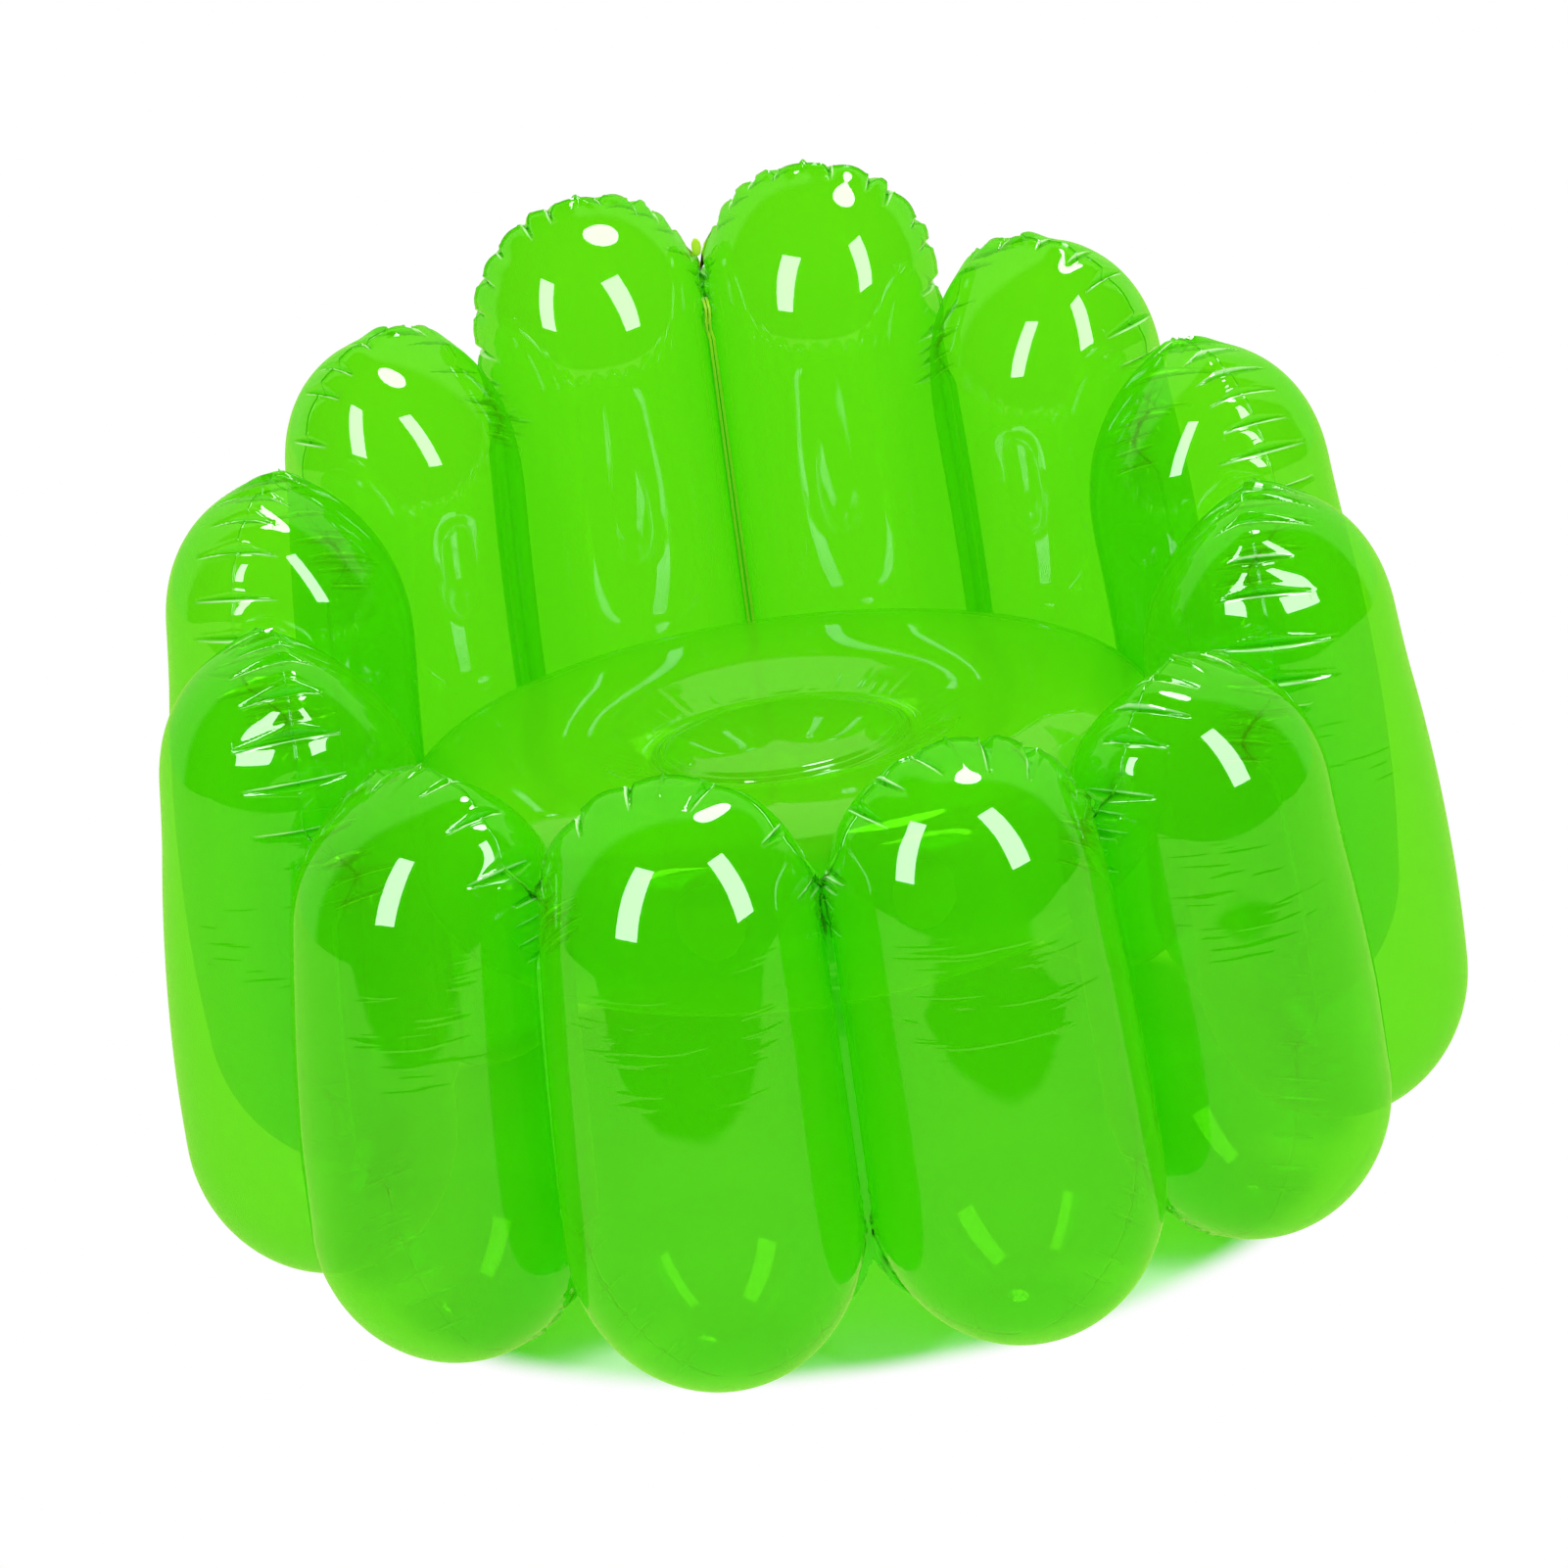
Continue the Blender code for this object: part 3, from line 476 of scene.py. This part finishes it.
bm = bmesh.new()
bmesh.ops.create_uvsphere(bm, u_segments=2 * sum(COLUMNS), v_segments=sum(ROWS), radius=1)
bmesh.ops.recalc_face_normals(bm, faces=bm.faces)
blank = bpy.data.meshes.new("blank_skin")
bm.to_mesh(blank)
bm.free()
ball = np.zeros(len(blank.vertices) * 3, np.float32)
blank.vertices.foreach_get("co", ball)
ball = ball.reshape(-1, 3).astype(float)
ball_row = np.rint(np.arccos(np.clip(-ball[:, 2], -1, 1)) / math.pi * sum(ROWS)).astype(int)
ball_turn = np.arctan2(ball[:, 1], ball[:, 0]) / (2 * math.pi)
ball_column = np.rint(ball_turn * 2 * sum(COLUMNS)).astype(int) % (2 * sum(COLUMNS))


def tube_skin(name, form, turn, top, crown_folds, foot_folds, ends):
    """A closed skin: the blank ball's columns and rows are moved out to the tube's own."""
    mesh = blank.copy()
    mesh.name = name
    z, angle = tube_rows(top, min(ends.values()))[ball_row], section_columns()[ball_column]
    side = np.where(angle < 0, -1, 1)
    end = np.where(side > 0, ends[1], ends[-1])
    on_edge = np.isclose(np.abs(angle), WELD_ANGLE)
    near_edge = np.isclose(np.abs(np.abs(angle) - WELD_ANGLE), EDGE_STEP)

    # the edge leaves the weld's line above its end, and the columns follow it
    edge_angle = WELD_ANGLE - EDGE_TURN * eased((z - end) / EDGE_TURN_RISE)
    inner_angle = math.pi - (math.pi - np.abs(angle)) * (math.pi - edge_angle) / (math.pi - WELD_ANGLE)
    outer_angle = np.abs(angle) * edge_angle / WELD_ANGLE
    angle = side * np.where(np.abs(angle) > WELD_ANGLE, inner_angle, outer_angle)
    outer_half = np.abs(angle) < math.pi / 2

    # the domes, as shares of the tube's width and depth
    inner_height, inner_power, inner_end_power = INNER_CROWN
    crown_up = np.clip((z - (top - CROWN)) / CROWN, 0, 1)
    lean_up = np.clip((z - (top - LEAN_RISE)) / LEAN_RISE, 0, 1)
    inner_up = np.clip((z - (top - inner_height)) / inner_height, 0, 1)
    foot_down = np.clip((FOOT - z) / FOOT, 0, 1)
    wide, deep = [(1 - crown_up**power) ** (1 / power) for power in CROWN_POWERS]
    width = np.where(foot_down > 0, np.sqrt(1 - foot_down**2), wide)
    width *= 1 + form.swell * np.exp(-(((top - SWELL_PLACE[0] - z) / SWELL_PLACE[1]) ** 2))
    crown_depth = np.where(outer_half, deep, (1 - inner_up**inner_power) ** inner_end_power)
    depth = np.where(foot_down > 0, width, crown_depth)

    # the section: round at the foot and beside the welds, a little squarer or flatter elsewhere
    power = 2 + (form.flatness[0] - 2) * eased((z - FOOT) / FLATTENING)
    front = np.where(outer_half, form.flatness[1], 1)
    squarer = (np.abs(np.cos(angle) / front) ** power + np.abs(np.sin(angle)) ** power) ** (-1 / power)
    squarer = 1 + (squarer - 1) * (1 - np.exp(-(((np.abs(angle) - WELD_ANGLE) / WELD_EASE) ** 2)))
    distance = ring_distance(turn, z)
    radius = distance * math.sin(PITCH / 2) - HALF_WELD

    # the folds and petals, and the edge where it is free or held by a weld
    polar = np.where(crown_up > 0, np.arccos(crown_up), math.pi / 2)
    below = top - CROWN - z
    inward, across_fold, folded = gather(crown_folds, angle, edge_angle, polar, below, radius)
    inward += scallop(crown_folds, angle, edge_angle, polar, below) * eased((z - end) / 0.02)
    foot_polar = np.where(foot_down > 0, np.arccos(foot_down), math.pi / 2)
    above = z - FOOT
    foot_inward, across_foot, foot_folded = gather(foot_folds, angle, edge_angle, foot_polar, above, radius)
    inward += foot_inward
    free = np.maximum(eased((z - end) / WELD_END), eased((FOOT_TOP - z) / WELD_END))
    edge_out = FLANGE * free + (HALF_WELD - 0.0001) * (1 - free)
    inward += np.where(on_edge, edge_out, np.where(near_edge, BESIDE_WELD * (1 - free), 0))
    size = radius * squarer + inward
    up = np.where(crown_up > 0, crown_up, np.where(foot_down > 0, -foot_down, 0))
    across = size * width * np.sin(angle)
    out = distance + form.crown_shift * lean_up**LEAN_POWER + size * depth * np.cos(angle)
    points = to_ring(turn, across, out, np.maximum(z + inward * up, 0))
    mesh.vertices.foreach_set("co", points.astype(np.float32).ravel())
    mesh.update()
    mesh.shade_smooth()

    # the free edge is welded double, so it has its own film
    mesh.materials.append(tube_film)
    mesh.materials.append(edge_film)
    corners = np.zeros(len(mesh.loops), np.int32)
    mesh.loops.foreach_get("vertex_index", corners)
    starts = np.zeros(len(mesh.polygons), np.int32)
    mesh.polygons.foreach_get("loop_start", starts)
    slot = np.maximum.reduceat((on_edge & (free > 0.5))[corners].astype(np.int32), starts)
    mesh.polygons.foreach_set("material_index", slot)

    # where the material draws creases and crumples
    from_edge = radius * np.abs(np.abs(angle) - edge_angle) * width
    pucker = patch(from_edge, z - end + UPPER_CRUMPLES[0], *UPPER_CRUMPLES[1:])
    pucker += LOWER_CRUMPLE_SHARE * patch(from_edge, z - FOOT_TOP + LOWER_CRUMPLES[0], *LOWER_CRUMPLES[1:])
    marks = {
        "fold_across": np.where(z > FOOT, across_fold, across_foot),
        "fold_share": np.where(z > FOOT, folded, FOOT_CREASES * foot_folded),
        "pucker": pucker,
    }
    for mark, values in marks.items():
        mesh.attributes.new(mark, "FLOAT", "POINT").data.foreach_set("value", values.astype(np.float32))
    lines = {}
    for side in (1, -1):
        line = points[on_edge & (np.sign(angle) == side)]
        lines[side] = line[np.argsort(line[:, 2])]
    return add_object(name, mesh), lines


def fold_row(seed, side, first, last, spacing, length, width, depth):
    """Folds at uneven steps along one side's edge, between two places along it."""
    rng = np.random.default_rng(seed)
    found, at = [], first + spacing * rng.uniform(0.2, 0.7)
    while at < last:
        size = rng.uniform(0.6, 1.2)
        reach = length * rng.uniform(0.75, 1.25) * size**0.5
        found.append(Fold(side, at, reach, width * size, depth * size, rng.choice((-1, 1))))
        at += spacing * rng.uniform(0.65, 1.35)
    return found


def tube_name(index):
    index %= 12
    return f"{TUBE_NAMES[min(index, 11 - index)]}_{'right' if index < 6 else 'left'}"


edge_lines = []
for index in range(12):
    node = "tube_" + tube_name(index)
    form = TUBES.get(tube_name(index), Tube())
    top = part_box(node)[1].z
    ends = {side: min(top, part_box("tube_" + tube_name(index + side))[1].z) - CROWN for side in (1, -1)}
    crown_folds, foot_folds = [], []
    for side in (1, -1):
        last = CROWN * math.pi / 2 + top - CROWN - ends[side]
        crown_form = (form.spacing, form.fold_length, CROWN_FOLD_WIDTH, form.fold_depth)
        crown_folds += fold_row((index, side + 1, 1), side, FIRST_CROWN_FOLD, last, *crown_form)
        end_row = (last + END_FOLD_ROW[0], last + END_FOLD_ROW[1])
        crown_folds += fold_row((index, side + 1, 3), side, *end_row, *END_FOLDS)
        foot_folds += fold_row((index, side + 1, 2), side, *FOOT_FOLD_ROW, *FOOT_FOLDS)
    piece, lines = tube_skin("air_" + node, form, PITCH * (index + 0.5), top, crown_folds, foot_folds, ends)
    edge_lines.append((lines, ends))
    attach(piece, "chair")
    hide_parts(node)
bpy.data.meshes.remove(blank)

# Welds and webs. Between two tubes the sheets are welded flat along a narrow band. Below and above the band
# a web of the same double film spans the notch between the two tubes' edges, with an arched free edge. At
# the back the wall's strip is closed into a ring, by two narrow yellowed welds with a small tab on top.
WELD_NAMES = (
    "weld_front",
    "weld_front_to_front_corner_right",
    "weld_front_corner_to_side_front_right",
    "weld_side_front_to_side_back_right",
    "weld_side_back_to_back_corner_right",
    "weld_back_corner_to_back_right",
    "back_joining_seam",
    "weld_back_corner_to_back_left",
    "weld_side_back_to_back_corner_left",
    "weld_side_front_to_side_back_left",
    "weld_front_corner_to_side_front_left",
    "weld_front_to_front_corner_left",
)
HALF_BAND = 0.0030
BAND_SET_OUT = 0.024  # the band shows in the groove between the tubes
SET_OUT_EASE = (0.03, 0.04)  # how far from a weld's end it begins to move out, and over what height
WEB_FILM = 0.0006
WEB_EASE = 0.01  # the height over which the band widens into a web
WEB_RIPPLE = 0.0007
LOWER_WEB = (0.026, 0.062)  # how far it reaches below the band, in the middle and beside the tubes
UPPER_WEB = (0.022, 0.055)
SEAM_SET_IN = 0.034  # the joining seam shows on the inner side
SEAM_RISE = 0.012  # how far it runs on above the weld's end
SEAM_STEPS = 59
SEAM_OFF = (0.0030, 0.0015)  # each strip's distance from the seam's middle, at the foot and at the top
SEAM_HALF_WIDTH = 0.0011
TAB_HALVES = (0.0042, 0.0012, 0.008)
TAB_OFF = 0.004  # how far in front of the edges and above the seam's solid its middle is
weld_film = film_material(
    "welded_double_vinyl", "#8CF038", "#C8FF90", "#A8F860", 0.45, roughness=0.08, ripple=0.5
)
seam_film = film_material(
    "yellowed_seam_vinyl", "#D8F04A", "#E0F080", "#D8F04A", 0.95, roughness=0.12, ripple=0.3
)


def at_height(line, z):
    return np.stack([np.interp(z, line[:, 2], line[:, 0]), np.interp(z, line[:, 2], line[:, 1]), z], axis=-1)


for index in range(12):
    turn, node = PITCH * index, WELD_NAMES[index]
    (left_lines, left_ends), (right_lines, right_ends) = edge_lines[index - 1], edge_lines[index]
    end = left_ends[1]
    joining = node == "back_joining_seam"
    bm = bmesh.new()
    bmesh.ops.create_grid(bm, x_segments=12, y_segments=90, size=1)
    flat = np.array([vert.co for vert in bm.verts], float)
    share, up = (flat[:, 0] + 1) / 2, (flat[:, 1] + 1) / 2
    bow = np.abs(2 * share - 1) ** 1.7
    low = FOOT_TOP - LOWER_WEB[0] - (LOWER_WEB[1] - LOWER_WEB[0]) * bow
    high = end + UPPER_WEB[0] + (UPPER_WEB[1] - UPPER_WEB[0]) * bow
    z = low + up * (high - low)
    left, right = at_height(left_lines[1], z), at_height(right_lines[-1], z)
    tangent = np.array([math.cos(turn), math.sin(turn), 0])
    outward = np.array([math.sin(turn), -math.cos(turn), 0])
    free = np.maximum(eased((z - end) / WEB_EASE), eased((FOOT_TOP - z) / WEB_EASE))[:, None]
    web = left + share[:, None] * (right - left)
    near, rise = SET_OUT_EASE
    settled = np.maximum(eased((z - end + near) / rise), eased((FOOT_TOP + near - z) / rise))[:, None]
    band = (left + right) / 2 + (2 * share - 1)[:, None] * HALF_BAND * tangent
    band += BAND_SET_OUT * (1 - settled) * outward
    inset = WEB_RIPPLE * np.sin(9 * math.pi * share + 40 * z)[:, None] * free * (1 - bow)[:, None]
    placed = band + free * (web - band) + inset * outward
    for vert, place in zip(bm.verts, placed):
        vert.co = place
    bmesh.ops.solidify(bm, geom=bm.faces, thickness=WEB_FILM)
    if joining:
        reach = np.linspace(FOOT_TOP, end + SEAM_RISE, SEAM_STEPS + 1)
        inner = at_height(left_lines[1], reach)
        inner[:, 0] = (inner[:, 0] + at_height(right_lines[-1], reach)[:, 0]) / 2
        for side in (-1, 1):
            made = bmesh.ops.create_grid(bm, x_segments=1, y_segments=SEAM_STEPS, size=1)["verts"]
            for vert in made:
                step = int(round((vert.co.y + 1) / 2 * SEAM_STEPS))
                middle, behind, tall = inner[step]
                off = SEAM_OFF[0] + (SEAM_OFF[1] - SEAM_OFF[0]) * step / SEAM_STEPS
                vert.co = (middle + side * off + vert.co.x * SEAM_HALF_WIDTH, behind - SEAM_SET_IN, tall)
            faces = list({face for vert in made for face in vert.link_faces})
            bmesh.ops.solidify(bm, geom=faces, thickness=WEB_FILM)
        tab = bmesh.ops.create_uvsphere(bm, u_segments=24, v_segments=12, radius=1)["verts"]
        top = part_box(node)[1].z
        bmesh.ops.scale(bm, verts=tab, vec=TAB_HALVES)
        bmesh.ops.translate(bm, verts=tab, vec=(inner[-1, 0], inner[-1, 1] - TAB_OFF, top + TAB_OFF))
    bmesh.ops.recalc_face_normals(bm, faces=bm.faces)
    mesh = bpy.data.meshes.new("film_" + node)
    bm.to_mesh(mesh)
    bm.free()
    mesh.shade_smooth()
    mesh.materials.append(seam_film if joining else weld_film)
    piece = add_object("film_" + node, mesh)
    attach(piece, "chair")
    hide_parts(node)

# Air valves. Soft vinyl is moulded into a flange, a stem that pushes in, a plug on a strap and a check
# flap. One set is welded to the wall's inner side and one under the seat, and both show as the frame has
# them.
valve_vinyl = film_material(
    "soft_moulded_vinyl", "#A6EE84", "#D4F8B4", "#A6EE84", 0.7, roughness=0.12, ripple=0.05
)
for name, node in nodes.items():
    if "valve" in name:
        node.data.materials.clear()
        node.data.materials.append(valve_vinyl)

# Seat cushion: two round sheets welded at the rim and drawn together by a welded circle round the middle,
# where a band joins them inside. The middle swells up again, and the film is gathered where it runs down to
# the circle.
TIE_RADIUS = 0.1086
SEAT_TOP = [
    (0.0, 0.3690), (0.03, 0.3681), (0.055, 0.3653), (0.078, 0.3600), (0.092, 0.3545), (0.0975, 0.3512),
    (0.0985, 0.3519), (0.0998, 0.3508), (0.1030, 0.3483), (0.1041, 0.3490), (0.1054, 0.3479),
    (TIE_RADIUS, 0.3476), (0.1112, 0.3479), (0.1124, 0.3488), (0.1138, 0.3485), (0.120, 0.3514),
    (0.133, 0.3573), (0.148, 0.3640), (0.160, 0.3687), (0.172, 0.3719), (0.186, 0.3742), (0.203, 0.3755),
    (0.220, 0.3760), (0.240, 0.3751), (0.265, 0.3715), (0.288, 0.3640), (0.302, 0.3530), (0.310, 0.3360),
    (0.3128, 0.3150), (0.3133, 0.3001),
]  # radius and height, from the middle out to the rim
SEAT_LOW = [
    (0.3133, 0.2999), (0.3110, 0.2800), (0.300, 0.2560), (0.280, 0.2320), (0.255, 0.2150), (0.220, 0.2052),
    (0.203, 0.2048), (0.185, 0.2052), (0.150, 0.2095), (TIE_RADIUS, 0.2180), (0.05, 0.2184), (0.0, 0.2184),
]  # from the rim in to the middle
GATHER_START = 0.1145  # the radius at which the gathers leave the weld circle
GATHER_RISE = 0.006
GATHER_FADE = 0.12  # and the one from which they fade
VALVE_TURN = math.radians(-38.8)  # the shoulder is pressed in beside the wall valve, which needs room
VALVE_HALF = (math.radians(6), math.radians(14))
PRESSED_HEIGHTS = (0.3002, 0.3248, 0.3473, 0.3645, 0.3750)
PRESSED_RADII = (0.3075, 0.3010, 0.2885, 0.2650, 0.2350)
# Painted light: the seat's vinyl is a lighter copy of the tubes' vinyl, lightened to offset the shade of the
# floor seen through it, and it mirrors more.
lightened_seat_film = film_material("clear_green_seat_vinyl_lightened", "#94E81C", "#BCFF6A", "#94F444", 0.55, shine=0.10)


def smooth_profile(points, steps):
    """More points along a smooth line through these, at the given shares of its length."""
    points = np.array(points)
    at = np.concatenate([[0], np.cumsum(np.hypot(*np.diff(points, axis=0).T))])
    slopes = np.gradient(points, at, axis=0)
    found = []
    for t in np.array(steps) * at[-1]:
        i = min(np.searchsorted(at, t, side="right") - 1, len(at) - 2)
        h = at[i + 1] - at[i]
        u = (t - at[i]) / h
        passing = (2 * u**3 - 3 * u**2 + 1) * points[i] + (3 * u**2 - 2 * u**3) * points[i + 1]
        bending = (u**3 - 2 * u**2 + u) * slopes[i] + (u**3 - u**2) * slopes[i + 1]
        found.append(passing + h * bending)
    return [(max(float(r), 0), float(z)) for r, z in found]


bm = bmesh.new()
middle_steps = np.linspace(0, 0.235, 36)[:-1]
circle_steps = np.linspace(0.235, 0.31, 70)[:-1]  # close together across the weld circle
outer_steps = np.linspace(0.31, 1, 110)
line = smooth_profile(SEAT_TOP, np.concatenate([middle_steps, circle_steps, outer_steps]))
line += smooth_profile(SEAT_LOW, np.linspace(0, 1, 60))[1:]
points = [bm.verts.new((radius, 0, z)) for radius, z in line]
edges = [bm.edges.new(pair) for pair in zip(points, points[1:])]
bmesh.ops.spin(
    bm, geom=points + edges, cent=(0, 0, 0), axis=(0, 0, 1), angle=2 * math.pi, steps=240, use_merge=True
)
poles = [vert for vert in bm.verts if math.hypot(vert.co.x, vert.co.y) < 0.0002]
bmesh.ops.remove_doubles(bm, verts=poles, dist=0.0004)
rng = np.random.default_rng(7)
gathers = []
for _ in range(70):
    place, wide = rng.uniform(0, 2 * math.pi), rng.uniform(0.012, 0.03)
    gathers.append((place, wide, rng.uniform(0.0004, 0.0012), rng.uniform(0.12, 0.17)))
for vert in bm.verts:
    radius = math.hypot(vert.co.x, vert.co.y)
    if vert.co.z > 0.33 and GATHER_START < radius < 0.19:
        angle = math.atan2(vert.co.y, vert.co.x)
        for place, wide, deep, far in gathers:
            off = abs((angle - place + math.pi) % (2 * math.pi) - math.pi) / wide
            if off < 1 and radius < far:
                run = min((radius - GATHER_START) / GATHER_RISE, (far - radius) / (far - GATHER_FADE), 1)
                vert.co.z -= deep * (1 - off) * run
    off = abs(math.atan2(vert.co.y, vert.co.x) - VALVE_TURN)
    if vert.co.z > 0.29 and radius > 0.235 and off < VALVE_HALF[1]:
        near = 1 - float(eased((off - VALVE_HALF[0]) / (VALVE_HALF[1] - VALVE_HALF[0])))
        allowed = float(np.interp(vert.co.z, PRESSED_HEIGHTS, PRESSED_RADII))
        pressed = 1 - near * max(0, radius - allowed) / radius
        vert.co.x *= pressed
        vert.co.y *= pressed
bmesh.ops.translate(bm, verts=bm.verts, vec=(0, RING_Y, 0))
bmesh.ops.recalc_face_normals(bm, faces=bm.faces)
seat_mesh = bpy.data.meshes.new("seat_cushion_film")
bm.to_mesh(seat_mesh)
bm.free()
seat_mesh.shade_smooth()
seat_mesh.materials.append(lightened_seat_film)
seat = add_object("seat_cushion_film", seat_mesh)
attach(seat, "chair")
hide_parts("seat_top_sheet", "seat_bottom_sheet")
nodes["seat_tie_band"].data.materials.clear()
nodes["seat_tie_band"].data.materials.append(tube_film)
